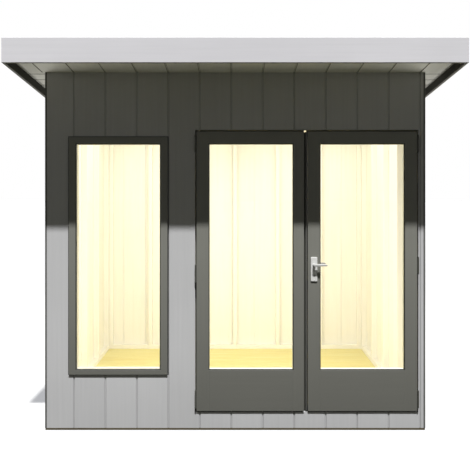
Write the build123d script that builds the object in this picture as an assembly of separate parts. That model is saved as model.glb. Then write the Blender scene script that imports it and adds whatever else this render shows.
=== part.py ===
from build123d import *
import os

os.makedirs("parts", exist_ok=True)

# Garden office pod: a boarded timber cabin with a pent roof that falls to the rear,
# a fixed window on the left and a pair of glazed doors on the right.
# Millimetres. +X is to the right of someone who faces the doors, +Y runs to the rear, +Z is up.
# The origin is on the ground, under the middle of the roof.

# Plan of the walls and the roof
POD_WIDTH = 2412
POD_DEPTH = 1850
ROOF_WIDTH = 2690
FRONT_CANOPY = 392
REAR_EAVES = 100
ROOF_DEPTH = FRONT_CANOPY + POD_DEPTH + REAR_EAVES
ROOF_FRONT = -ROOF_DEPTH / 2
ROOF_REAR = ROOF_DEPTH / 2
WALL_FRONT = ROOF_FRONT + FRONT_CANOPY
WALL_REAR = WALL_FRONT + POD_DEPTH
WALL_SIDE = POD_WIDTH / 2

# Levels of the roof, each taken at its front edge, and its fall towards the rear
ROOF_FALL = 0.104
FASCIA_TOP = 2405
FASCIA_HEIGHT = 143
FASCIA_THICK = 18
SOFFIT_THICK = 12
SOFFIT_SETBACK = 52
SOFFIT_FACE = FASCIA_TOP - FASCIA_HEIGHT + SOFFIT_SETBACK
PLATE_LEVEL = SOFFIT_FACE + SOFFIT_THICK
RAFTER_DEPTH = 47
RAFTER_WIDTH = 35
ROOF_BOARD = 12
COVERING = 3
DRIP_HEIGHT = 40
BOARD_LEVEL = PLATE_LEVEL + RAFTER_DEPTH
COVERING_LEVEL = BOARD_LEVEL + ROOF_BOARD

# Floor and wall build-up
CLADDING = 12
CLADDING_FOOT = 13
STUD_WIDTH = 35
STUD_DEPTH = 44
BEARER = 45
BEARERS = 5
FLOOR_BOARD = 16
FLOOR_TOP = BEARER + FLOOR_BOARD
FRAME_SIDE = WALL_SIDE - CLADDING
FRAME_FRONT = WALL_FRONT + CLADDING
FRAME_REAR = WALL_REAR - CLADDING
ROOM_SIDE = FRAME_SIDE - STUD_DEPTH
ROOM_FRONT = FRAME_FRONT + STUD_DEPTH
ROOM_REAR = FRAME_REAR - STUD_DEPTH
STUD_SPACING = 388
BEARER_LIP = 12

# Joinery shared by the window and the doors
JOINERY_PROUD = 9
JOINERY_FACE = WALL_FRONT - JOINERY_PROUD
GLASS = 4
GLASS_SETBACK = 7
GROOVE_DEPTH = 8
SIGHT_CHAMFER = 6
GLASS_HEAD = 1815
GLASS_FOOT = 387

# Fixed window
WINDOW_LEFT = -1057
WINDOW_RIGHT = -430
WINDOW_FOOT = 354
WINDOW_HEAD = 1862
WINDOW_STILE = 49
WINDOW_SHADOW_GAP = 5

# Doorway and the two leaves
DOORWAY_LEFT = -255
DOORWAY_RIGHT = 1164
DOORWAY_FOOT = 116
DOORWAY_HEAD = 1908
LEAF_THICK = 40
LEAF_FOOT = 124
LEAF_HEAD = 1894
LEAF_GAP = 10
LEFT_LEAF_EDGE = 436
RIGHT_LEAF_EDGE = 461
OUTER_STILE = 82
LEFT_MEETING_STILE = 71
RIGHT_MEETING_STILE = 82
STOP_CLEARANCE = 5
STOP_OVERLAP = 12
STOP_SPLIT = 16
LINTEL = 70

# Butt hinges, three to a leaf
HINGE_LENGTH = 110
HINGE_KNUCKLES = 3
HINGE_RADIUS = 5.5
HINGE_PIN = 2.5
HINGE_RUNNING_FIT = 0.05
HINGE_PLATE = 2.5
HINGE_PLATE_WIDTH = 28
HINGE_REACH = 7
HINGE_OUT = 6
HINGE_PROUD = 4
KNUCKLE_GAP = 0.5
BOTTOM_HINGE = 199
LEFT_MIDDLE_HINGE = 995
RIGHT_MIDDLE_HINGE = 1046
TOP_HINGE = 1820

# Lever handle on the right leaf
LEVER_X = 500
LEVER_Z = 1051
PLATE_FOOT = 947
PLATE_HEAD = 1100
PLATE_WIDTH = 41
PLATE_THICK = 6
PLATE_CORNER = 3
NECK_RADIUS = 9
LEVER_STANDOFF = 22
LEVER_LENGTH = 91
LEVER_HEIGHT = 17
LEVER_TIP_HEIGHT = 12
LEVER_THICK = 11
LEVER_EASE = 3
SPINDLE = 8
SPINDLE_BORE = 12
KEYHOLE_Z = 985


def roof_height(level, y):
    """Height at depth y of a plane of the roof that starts at level at the front."""
    return level - ROOF_FALL * (y - ROOF_FRONT)


def block(x0, x1, y0, y1, z0, z1):
    """A square-sawn piece between two corners."""
    corner = (Align.MIN, Align.MIN, Align.MIN)
    return Pos(x0, y0, z0) * Box(x1 - x0, y1 - y0, z1 - z0, align=corner)


def side_profile(x0, x1, outline):
    """A piece whose outline is seen from the side, as depth and height, run from x0 to x1."""
    face = make_face(Plane.YZ * Polyline(*outline, close=True))
    return Pos(x0, 0, 0) * extrude(face, amount=x1 - x0, dir=(1, 0, 0))


def raked_post(x0, x1, y0, y1, foot, level):
    """An upright piece with a flat foot, its head cut to the fall of the roof."""
    heads = [(y1, roof_height(level, y1)), (y0, roof_height(level, y0))]
    return side_profile(x0, x1, [(y0, foot), (y1, foot)] + heads)


def raked_slab(x0, x1, y0, y1, low, high):
    """A piece that lies between two planes of the roof."""
    feet = [(y0, roof_height(low, y0)), (y1, roof_height(low, y1))]
    heads = [(y1, roof_height(high, y1)), (y0, roof_height(high, y0))]
    return side_profile(x0, x1, feet + heads)


def save(node, *pieces):
    """Write the pieces of one node, as separate solids."""
    shape = pieces[0] if len(pieces) == 1 else Compound(children=list(pieces))
    export_step(shape, f"parts/{node}.step")


# Floor: bearers on the ground and a boarded deck that the walls stand on. The first and last
# bearers have a lip under the cladding.
bearer_step = (FRAME_REAR - FRAME_FRONT - BEARER) / (BEARERS - 1)
bearers = []
for number in range(BEARERS):
    front = FRAME_FRONT + number * bearer_step
    bearers.append(block(-FRAME_SIDE, FRAME_SIDE, front, front + BEARER, 0, BEARER))
bearers[0] += block(-WALL_SIDE, WALL_SIDE, WALL_FRONT, FRAME_FRONT, 0, BEARER_LIP)
bearers[-1] += block(-WALL_SIDE, WALL_SIDE, FRAME_REAR, WALL_REAR, 0, BEARER_LIP)
save("floor_bearers", *bearers)
save("floor_boards", block(-FRAME_SIDE, FRAME_SIDE, FRAME_FRONT, FRAME_REAR, BEARER, FLOOR_TOP))


# Front cladding, in panels beside, over and under the window and the doorway
window_edges = (WINDOW_LEFT - WINDOW_SHADOW_GAP, WINDOW_RIGHT + WINDOW_SHADOW_GAP)


def front_panel(x0, x1, foot=CLADDING_FOOT):
    """Front cladding from foot up to the underside of the rafters."""
    return raked_post(x0, x1, WALL_FRONT, FRAME_FRONT, foot, PLATE_LEVEL)


def low_front_panel(x0, x1, head):
    """Front cladding below an opening."""
    return block(x0, x1, WALL_FRONT, FRAME_FRONT, CLADDING_FOOT, head)


save(
    "front_cladding_piers",
    front_panel(-WALL_SIDE, window_edges[0]),
    front_panel(window_edges[1], DOORWAY_LEFT),
    front_panel(DOORWAY_RIGHT, WALL_SIDE),
)
save(
    "front_cladding_window_bay",
    low_front_panel(*window_edges, WINDOW_FOOT - WINDOW_SHADOW_GAP),
    front_panel(*window_edges, WINDOW_HEAD + WINDOW_SHADOW_GAP),
)
save(
    "front_cladding_door_bay",
    low_front_panel(DOORWAY_LEFT, DOORWAY_RIGHT, DOORWAY_FOOT),
    front_panel(DOORWAY_LEFT, DOORWAY_RIGHT, DOORWAY_HEAD),
)

# Side and rear cladding: the sides fit between the front and the rear
side_run = (FRAME_FRONT, FRAME_REAR, CLADDING_FOOT, PLATE_LEVEL)
save("left_cladding", raked_post(-WALL_SIDE, -FRAME_SIDE, *side_run))
save("right_cladding", raked_post(FRAME_SIDE, WALL_SIDE, *side_run))
save(
    "rear_cladding",
    raked_post(-WALL_SIDE, WALL_SIDE, FRAME_REAR, WALL_REAR, CLADDING_FOOT, PLATE_LEVEL),
)

# Wall framing: plates at foot and head, studs between them
PLATE_TOP = FLOOR_TOP + STUD_WIDTH
UNDER_PLATE = PLATE_LEVEL - STUD_WIDTH


def head_plate(x0, x1, y0, y1):
    """The top plate of a wall, planed to the fall of the roof."""
    return raked_slab(x0, x1, y0, y1, UNDER_PLATE, PLATE_LEVEL)


def front_stud(x0, foot=PLATE_TOP, width=STUD_WIDTH):
    """A stud of the front wall that reaches the top plate."""
    return raked_post(x0, x0 + width, FRAME_FRONT, ROOM_FRONT, foot, UNDER_PLATE)


def front_rail(x0, x1, z0, height=STUD_WIDTH):
    """A level rail of the front wall."""
    return block(x0, x1, FRAME_FRONT, ROOM_FRONT, z0, z0 + height)


window_middle = (WINDOW_LEFT + WINDOW_RIGHT - STUD_WIDTH) / 2
doorway_middle = (DOORWAY_LEFT + DOORWAY_RIGHT - STUD_WIDTH) / 2
save(
    "front_studs",
    front_stud(-FRAME_SIDE),
    front_stud(WINDOW_LEFT - STUD_WIDTH),
    front_stud(WINDOW_RIGHT),
    front_stud(window_middle, WINDOW_HEAD + STUD_WIDTH),
    front_stud(doorway_middle, DOORWAY_HEAD + LINTEL),
    front_stud(DOORWAY_LEFT - STUD_WIDTH, FLOOR_TOP),
    front_stud(DOORWAY_RIGHT, FLOOR_TOP, FRAME_SIDE - DOORWAY_RIGHT),
)
save(
    "front_rails",
    front_rail(-FRAME_SIDE, DOORWAY_LEFT - STUD_WIDTH, FLOOR_TOP),
    front_rail(WINDOW_LEFT, WINDOW_RIGHT, WINDOW_FOOT - STUD_WIDTH),
    front_rail(WINDOW_LEFT, WINDOW_RIGHT, WINDOW_HEAD),
    front_rail(DOORWAY_LEFT, DOORWAY_RIGHT, DOORWAY_HEAD, LINTEL),
    head_plate(-FRAME_SIDE, FRAME_SIDE, FRAME_FRONT, ROOM_FRONT),
)


def side_frame(name, x0):
    """Studs and plates of a side wall, between the front frame and the rear frame."""
    x1 = x0 + STUD_DEPTH
    bays = round((ROOM_REAR - ROOM_FRONT) / STUD_SPACING)
    step = (ROOM_REAR - ROOM_FRONT - STUD_WIDTH) / bays
    studs = []
    for number in range(bays + 1):
        y0 = ROOM_FRONT + number * step
        studs.append(raked_post(x0, x1, y0, y0 + STUD_WIDTH, PLATE_TOP, UNDER_PLATE))
    save(f"{name}_studs", *studs)
    save(
        f"{name}_plates",
        block(x0, x1, ROOM_FRONT, ROOM_REAR, FLOOR_TOP, PLATE_TOP),
        head_plate(x0, x1, ROOM_FRONT, ROOM_REAR),
    )


side_frame("left", -FRAME_SIDE)
side_frame("right", ROOM_SIDE)

rear_studs = []
corner_stud = ROOM_SIDE - STUD_WIDTH / 2
inner_studs = [number * STUD_SPACING for number in range(-2, 3)]
for x in [-corner_stud] + inner_studs + [corner_stud]:
    left = x - STUD_WIDTH / 2
    rear_studs.append(
        raked_post(left, left + STUD_WIDTH, ROOM_REAR, FRAME_REAR, PLATE_TOP, UNDER_PLATE)
    )
save("rear_studs", *rear_studs)
save(
    "rear_plates",
    block(-FRAME_SIDE, FRAME_SIDE, ROOM_REAR, FRAME_REAR, FLOOR_TOP, PLATE_TOP),
    head_plate(-FRAME_SIDE, FRAME_SIDE, ROOM_REAR, FRAME_REAR),
)

# Roof: rafters from front to rear, boards, and a covering that turns down as a drip
FASCIA_LEVEL = FASCIA_TOP - FASCIA_HEIGHT
EAVES_FRONT = ROOF_FRONT + FASCIA_THICK
EAVES_REAR = ROOF_REAR - COVERING - FASCIA_THICK
EAVES_SIDE = ROOF_WIDTH / 2 - FASCIA_THICK
edge_rafter = EAVES_SIDE - RAFTER_WIDTH / 2
wall_rafter = FRAME_SIDE - STUD_DEPTH / 2
rafters = []
for x in [-edge_rafter, -wall_rafter] + inner_studs + [wall_rafter, edge_rafter]:
    left = x - RAFTER_WIDTH / 2
    rafters.append(
        raked_slab(left, left + RAFTER_WIDTH, EAVES_FRONT, EAVES_REAR, PLATE_LEVEL, BOARD_LEVEL)
    )
save("roof_rafters", *rafters)
save(
    "roof_boards",
    raked_slab(-EAVES_SIDE, EAVES_SIDE, EAVES_FRONT, EAVES_REAR, BOARD_LEVEL, COVERING_LEVEL),
)

drip_inside = ROOF_REAR - COVERING
drip_foot = roof_height(COVERING_LEVEL - DRIP_HEIGHT, ROOF_REAR)
covering_outline = [
    (EAVES_FRONT, roof_height(COVERING_LEVEL, EAVES_FRONT)),
    (drip_inside, roof_height(COVERING_LEVEL, drip_inside)),
    (drip_inside, drip_foot),
    (ROOF_REAR, drip_foot),
    (ROOF_REAR, roof_height(COVERING_LEVEL + COVERING, ROOF_REAR)),
    (EAVES_FRONT, roof_height(COVERING_LEVEL + COVERING, EAVES_FRONT)),
]
save("roof_covering", side_profile(-EAVES_SIDE, EAVES_SIDE, covering_outline))

# Fascias: the front one laps the ends of the sides, the rear one sits under the covering
half_roof = ROOF_WIDTH / 2
save(
    "front_fascia",
    raked_slab(-half_roof, half_roof, ROOF_FRONT, EAVES_FRONT, FASCIA_LEVEL, FASCIA_TOP),
)
side_fascia = (EAVES_FRONT, drip_inside, FASCIA_LEVEL, FASCIA_TOP)
save(
    "side_fascias",
    raked_slab(-half_roof, -EAVES_SIDE, *side_fascia),
    raked_slab(EAVES_SIDE, half_roof, *side_fascia),
)
save(
    "rear_fascia",
    raked_slab(
        -EAVES_SIDE, EAVES_SIDE, EAVES_REAR, drip_inside, FASCIA_LEVEL, COVERING_LEVEL
    ),
)

# Soffits under the overhangs, up against the cladding
save(
    "front_soffit",
    raked_slab(-EAVES_SIDE, EAVES_SIDE, EAVES_FRONT, WALL_FRONT, SOFFIT_FACE, PLATE_LEVEL),
)
side_soffit = (WALL_FRONT, EAVES_REAR, SOFFIT_FACE, PLATE_LEVEL)
save(
    "side_soffits",
    raked_slab(-EAVES_SIDE, -WALL_SIDE, *side_soffit),
    raked_slab(WALL_SIDE, EAVES_SIDE, *side_soffit),
)
save(
    "rear_soffit",
    raked_slab(-WALL_SIDE, WALL_SIDE, WALL_REAR, EAVES_REAR, SOFFIT_FACE, PLATE_LEVEL),
)


# Glazed frames: stiles and rails grooved round the edge of the glass
def glazed_frame(name, x0, x1, z0, z1, depth, left_stile, right_stile, bores=()):
    """Stiles and rails with a splayed edge round a pane; bores are holes, as x, z, radius."""
    y0, y1 = JOINERY_FACE, JOINERY_FACE + depth
    glass_y = JOINERY_FACE + GLASS_SETBACK
    sight_left, sight_right = x0 + left_stile, x1 - right_stile
    pane = block(
        sight_left - GROOVE_DEPTH, sight_right + GROOVE_DEPTH,
        glass_y, glass_y + GLASS,
        GLASS_FOOT - GROOVE_DEPTH, GLASS_HEAD + GROOVE_DEPTH,
    )
    sight = Plane(
        origin=((sight_left + sight_right) / 2, y0, (GLASS_FOOT + GLASS_HEAD) / 2),
        x_dir=(1, 0, 0), z_dir=(0, 1, 0),
    )
    splayed = Rectangle(
        sight_right - sight_left + 2 * SIGHT_CHAMFER, GLASS_HEAD - GLASS_FOOT + 2 * SIGHT_CHAMFER
    )
    splay = extrude(sight * splayed, amount=SIGHT_CHAMFER, taper=45)
    stiles = [
        block(x0, sight_left, y0, y1, z0, z1) - pane - splay,
        block(sight_right, x1, y0, y1, z0, z1) - pane - splay,
    ]
    for x, z, radius in bores:
        hole = Pos(x, (y0 + y1) / 2, z) * Rot(90, 0, 0) * Cylinder(radius, depth)
        stiles = [stile - hole for stile in stiles]
    rails = [
        block(sight_left, sight_right, y0, y1, z0, GLASS_FOOT) - pane - splay,
        block(sight_left, sight_right, y0, y1, GLASS_HEAD, z1) - pane - splay,
    ]
    save(f"{name}_stiles", *stiles)
    save(f"{name}_rails", *rails)
    save(f"{name}_glass", pane)


glazed_frame(
    "window", WINDOW_LEFT, WINDOW_RIGHT, WINDOW_FOOT, WINDOW_HEAD,
    ROOM_FRONT - JOINERY_FACE, WINDOW_STILE, WINDOW_STILE,
)
glazed_frame(
    "left_door", DOORWAY_LEFT + LEAF_GAP, LEFT_LEAF_EDGE, LEAF_FOOT, LEAF_HEAD,
    LEAF_THICK, OUTER_STILE, LEFT_MEETING_STILE,
)
glazed_frame(
    "right_door", RIGHT_LEAF_EDGE, DOORWAY_RIGHT - LEAF_GAP, LEAF_FOOT, LEAF_HEAD,
    LEAF_THICK, RIGHT_MEETING_STILE, OUTER_STILE,
    bores=[(LEVER_X, LEVER_Z, SPINDLE_BORE)],
)

# Meeting strip: an angle on the edge of the left leaf that fills most of the gap
leaf_back = JOINERY_FACE + LEAF_THICK
STRIP_WIDTH = 18.5
STRIP_RIB = 6
STRIP_BASE = 12
STRIP_DEPTH = 30
strip_edge = LEFT_LEAF_EDGE + STRIP_WIDTH
strip_outline = [
    (LEFT_LEAF_EDGE, leaf_back - STRIP_BASE),
    (LEFT_LEAF_EDGE, leaf_back),
    (strip_edge, leaf_back),
    (strip_edge, leaf_back - STRIP_DEPTH),
    (strip_edge - STRIP_RIB, leaf_back - STRIP_DEPTH),
    (strip_edge - STRIP_RIB, leaf_back - STRIP_BASE),
]
strip_face = Pos(0, 0, LEAF_FOOT) * make_face(Polyline(*strip_outline, close=True))
save("left_door_meeting_strip", extrude(strip_face, amount=LEAF_HEAD - LEAF_FOOT, dir=(0, 0, 1)))

# Threshold with a raised stop behind the leaves, and stops at the sides and the head
stop_front = leaf_back + STOP_CLEARANCE
stop_in = LEAF_GAP + STOP_OVERLAP
threshold_outline = [
    (FRAME_FRONT, FLOOR_TOP),
    (ROOM_FRONT, FLOOR_TOP),
    (ROOM_FRONT, LEAF_FOOT + STOP_OVERLAP),
    (stop_front, LEAF_FOOT + STOP_OVERLAP),
    (stop_front, DOORWAY_FOOT),
    (FRAME_FRONT, DOORWAY_FOOT),
]
save("door_threshold", side_profile(DOORWAY_LEFT, DOORWAY_RIGHT, threshold_outline))
threshold_top = LEAF_FOOT + STOP_OVERLAP
head_stop_foot = LEAF_HEAD - STOP_OVERLAP
MITRE_GAP = 2
meeting_middle = (LEFT_LEAF_EDGE + RIGHT_LEAF_EDGE) / 2
stop_sides = (DOORWAY_LEFT + stop_in, DOORWAY_RIGHT - stop_in)
stop_run = (stop_front, ROOM_FRONT)
save(
    "door_stops",
    block(DOORWAY_LEFT, stop_sides[0], *stop_run, threshold_top, DOORWAY_HEAD),
    block(stop_sides[1], DOORWAY_RIGHT, *stop_run, threshold_top, DOORWAY_HEAD),
    block(
        stop_sides[0] + MITRE_GAP, meeting_middle - STOP_SPLIT / 2,
        *stop_run, head_stop_foot, DOORWAY_HEAD,
    ),
    block(
        meeting_middle + STOP_SPLIT / 2, stop_sides[1] - MITRE_GAP,
        *stop_run, head_stop_foot, DOORWAY_HEAD,
    ),
)


# Butt hinges, drawn for the left leaf about their own axis and mirrored for the right leaf
def knuckle_row(first, radius):
    """Every second knuckle of one hinge, as upright cylinders round the axis."""
    pitch = HINGE_LENGTH / HINGE_KNUCKLES
    rows = []
    for number in range(first, HINGE_KNUCKLES, 2):
        middle = (number + 0.5) * pitch - HINGE_LENGTH / 2
        rows.append((middle, Pos(0, 0, middle) * Cylinder(radius, pitch - KNUCKLE_GAP)))
    return rows


def hinge_half(first, plate_x, pin):
    """One half of a hinge: a plate, its knuckles, and the pin or the bore for it."""
    pitch = HINGE_LENGTH / HINGE_KNUCKLES
    half = HINGE_LENGTH / 2
    plate_x1 = plate_x + HINGE_PLATE
    shape = block(plate_x, plate_x1, HINGE_REACH, HINGE_REACH + HINGE_PLATE_WIDTH, -half, half)
    for middle, knuckle in knuckle_row(first, HINGE_RADIUS):
        tab_half = (pitch - KNUCKLE_GAP) / 2
        tab = block(plate_x, plate_x1, 0, HINGE_REACH, middle - tab_half, middle + tab_half)
        shape += knuckle + tab
    if pin:
        return shape + Cylinder(HINGE_PIN, HINGE_LENGTH)
    return shape - Cylinder(HINGE_PIN + HINGE_RUNNING_FIT, HINGE_LENGTH)


plate_to_axis = LEAF_GAP - HINGE_OUT
fixed_half = hinge_half(0, -plate_to_axis, True)
moving_half = hinge_half(1, HINGE_OUT - HINGE_PLATE, False)
hinge_x = DOORWAY_LEFT + plate_to_axis
hinge_y = JOINERY_FACE - HINGE_PROUD
right_hinge_x = DOORWAY_RIGHT - plate_to_axis


def hang(half, middle_hinge):
    """Three hinges of the left leaf."""
    return [Pos(hinge_x, hinge_y, z) * half for z in (BOTTOM_HINGE, middle_hinge, TOP_HINGE)]


def hang_right(half, middle_hinge):
    """Three hinges of the right leaf, handed the other way."""
    handed = half.mirror(Plane.YZ)
    heights = (BOTTOM_HINGE, middle_hinge, TOP_HINGE)
    return [Pos(right_hinge_x, hinge_y, z) * handed for z in heights]


save("left_hinges_fixed", *hang(fixed_half, LEFT_MIDDLE_HINGE))
save("left_hinges_moving", *hang(moving_half, LEFT_MIDDLE_HINGE))
save("right_hinges_fixed", *hang_right(fixed_half, RIGHT_MIDDLE_HINGE))
save("right_hinges_moving", *hang_right(moving_half, RIGHT_MIDDLE_HINGE))


# Lever handle: a plate on each face of the stile, and two levers on one square spindle
def toward_front(shape, face_y):
    """Place a shape drawn upwards from its own foot so that it points out of the front."""
    return Pos(LEVER_X, face_y, LEVER_Z) * Rot(90, 0, 0) * shape


def toward_rear(shape, face_y):
    """The same, pointing into the room, with its left and right kept."""
    return toward_front(shape, face_y).mirror(Plane.XZ.offset(-face_y))


def backplate():
    """A plate with round corners, a hole for the neck of the lever and a keyhole."""
    foot, head = PLATE_FOOT - LEVER_Z, PLATE_HEAD - LEVER_Z
    outline = Pos(0, (foot + head) / 2) * RectangleRounded(PLATE_WIDTH, head - foot, PLATE_CORNER)
    key_z = KEYHOLE_Z - LEVER_Z
    keyhole = Pos(0, key_z) * Circle(4) + Pos(0, key_z - 6) * Rectangle(3.5, 12)
    plate = extrude(outline - Circle(NECK_RADIUS + HINGE_RUNNING_FIT) - keyhole, PLATE_THICK)
    rim = plate.faces().sort_by(Axis.Z)[-1].outer_wire().edges()
    return chamfer(rim, 1.2)


def lever():
    """A round neck that turns in the plate and a grip that tapers off to one side."""
    neck = extrude(Circle(NECK_RADIUS), LEVER_STANDOFF)
    tip_radius = LEVER_TIP_HEIGHT / 2
    grip_run = LEVER_LENGTH - LEVER_HEIGHT / 2 - tip_radius
    heel = Circle(LEVER_HEIGHT / 2)
    tip = Pos(grip_run, 0) * Circle(tip_radius)
    outline = make_hull((heel + tip).edges())
    grip = Pos(0, 0, LEVER_STANDOFF) * extrude(outline, LEVER_THICK)
    faces = grip.faces().sort_by(Axis.Z)
    grip = fillet(faces[-1].edges(), LEVER_EASE)
    return neck + grip


save(
    "handle_backplates",
    toward_front(backplate(), JOINERY_FACE),
    toward_rear(backplate(), leaf_back),
)
spindle = Pos(LEVER_X, (JOINERY_FACE + leaf_back) / 2, LEVER_Z) * Box(
    SPINDLE, LEAF_THICK, SPINDLE
)
save(
    "lever_handle",
    toward_front(lever(), JOINERY_FACE) + spindle + toward_rear(lever(), leaf_back),
)

print("hinge axes", hinge_x, right_hinge_x, hinge_y)
print("roof height at the rear", roof_height(FASCIA_TOP, ROOF_REAR))
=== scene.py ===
# %% [markdown]
# The garden office pod is already built as solids: bearers, wall frames, panels, doors and roof.
# This lesson dresses that model. The solids fix every size, so the first step loads them and
# keeps their outer box.

# %% Load the imported solids
import math

import bmesh
import bpy
from mathutils import Matrix, Vector


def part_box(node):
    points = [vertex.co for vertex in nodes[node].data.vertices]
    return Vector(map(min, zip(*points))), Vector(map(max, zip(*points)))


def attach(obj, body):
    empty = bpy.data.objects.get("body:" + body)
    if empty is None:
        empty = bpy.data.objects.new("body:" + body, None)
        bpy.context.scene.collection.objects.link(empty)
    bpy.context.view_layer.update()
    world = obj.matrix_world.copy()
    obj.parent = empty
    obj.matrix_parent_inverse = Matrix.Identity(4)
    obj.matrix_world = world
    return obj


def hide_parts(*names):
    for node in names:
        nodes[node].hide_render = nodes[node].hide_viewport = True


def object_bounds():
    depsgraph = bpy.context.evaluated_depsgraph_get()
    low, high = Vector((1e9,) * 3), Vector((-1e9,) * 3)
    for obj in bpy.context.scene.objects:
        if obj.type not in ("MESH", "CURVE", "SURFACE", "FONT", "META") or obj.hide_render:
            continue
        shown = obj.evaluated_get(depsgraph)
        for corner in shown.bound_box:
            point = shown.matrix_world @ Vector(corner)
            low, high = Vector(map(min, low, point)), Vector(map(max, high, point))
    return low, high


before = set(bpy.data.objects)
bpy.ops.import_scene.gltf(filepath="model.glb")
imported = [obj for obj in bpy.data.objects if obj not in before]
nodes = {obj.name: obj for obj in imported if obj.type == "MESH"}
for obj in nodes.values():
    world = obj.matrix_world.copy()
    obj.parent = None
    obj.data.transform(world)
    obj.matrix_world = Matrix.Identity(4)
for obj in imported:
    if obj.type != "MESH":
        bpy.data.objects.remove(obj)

solid_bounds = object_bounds()
print("solids", len(nodes), "box", solid_bounds)

# %% [markdown]
# A short list of real sizes is shared by the steps below, in metres. The fall of the roof, the
# cover of one wall board and the line of the first joint are the ones that set the pattern.

# %% Sizes shared by the boards
MM = 0.001
ROOF_FALL = 0.104
BOARD_COVER = 200 * MM
FIRST_JOINT = -1225 * MM
wall_low, wall_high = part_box("front_cladding_piers")
roof_front = solid_bounds[0][1]
print("front wall", [round(v, 3) for v in wall_low], [round(v, 3) for v in wall_high])

# %% [markdown]
# The photograph is a straight view of the front, at eye height, with every upright parallel. So
# the camera looks level along +Y, and the picture is moved down with the lens shift instead of
# tilting the camera, as an architectural photographer would.

# %% Camera
PHOTO_SIZE = 470
VANISHING_Y = 185.2
CENTRE_X = 235.2
FOCAL_PIXELS = 645
EYE_HEIGHT = 1.556
CAMERA_TO_WALL = 4.1
SENSOR = 36

camera_data = bpy.data.cameras.new("front_camera")
camera_data.sensor_width = SENSOR
camera_data.lens = SENSOR * FOCAL_PIXELS / PHOTO_SIZE
camera_data.shift_x = (PHOTO_SIZE / 2 - CENTRE_X) / PHOTO_SIZE
camera_data.shift_y = (VANISHING_Y - PHOTO_SIZE / 2) / PHOTO_SIZE
camera = bpy.data.objects.new("front_camera", camera_data)
camera.location = (0, wall_low.y - CAMERA_TO_WALL, EYE_HEIGHT)
camera.rotation_euler = (math.pi / 2, 0, 0)
bpy.context.scene.collection.objects.link(camera)
bpy.context.scene.camera = camera
bpy.context.scene.view_settings.view_transform = "Standard"
print("lens", round(camera_data.lens, 2), "shift", round(camera_data.shift_y, 4))

# %% [markdown]
# Colours are read from paint cards and pictures as sRGB hex values, but a shader works with
# linear light. One function turns one into the other. A second small function adds any shader
# node, sets its values and wires its inputs, which keeps each material below to a few lines.

# %% Colour and node helpers
def linear(hex_colour):
    """An sRGB hex colour as linear red, green, blue and alpha."""
    channels = [int(hex_colour[i:i + 2], 16) / 255 for i in (1, 3, 5)]
    curve = [c / 12.92 if c <= 0.04045 else ((c + 0.055) / 1.055) ** 2.4 for c in channels]
    return (*curve, 1.0)


def add(tree, kind, settings=None, **inputs):
    """Add a node, set its own settings, and give each input a value or a link."""
    made = tree.nodes.new(kind)
    for name, value in (settings or {}).items():
        setattr(made, name, value)
    for name, value in inputs.items():
        key = int(name[1:]) if name[0] == "_" else name.replace("_", " ")
        if isinstance(value, bpy.types.NodeSocket):
            tree.links.new(value, made.inputs[key])
        else:
            made.inputs[key].default_value = value
    return made


def new_material(name):
    """An empty node material and its surface output."""
    material = bpy.data.materials.new(name)
    material.use_nodes = True
    material.node_tree.nodes.clear()
    return material, material.node_tree


print("mid grey", [round(c, 3) for c in linear("#808080")])

# %% [markdown]
# The outside is softwood with a factory coat of matt paint. Paint hides the colour of the wood
# but not its relief, so the eye sees a nearly even colour, a faint streak along the grain and a
# very dull sheen. The grain is stretched noise on Object coordinates. Real grain is 2 mm wide,
# less than a pixel here, so it is drawn 14 mm wide to show at all. The tone also follows the
# height: painted shade darkens the foot of a wall, and on the joinery a painted sheen makes the
# paint lighter high up and darker near the ground.

# %% Painted timber
GRAIN_WIDTH = 14 * MM
GRAIN_LENGTH = 600 * MM


def grain_scale(axis, width, length):
    """Noise scale that stretches the pattern along one axis."""
    return tuple(1 / length if name == axis else 1 / width for name in "XYZ")


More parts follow.
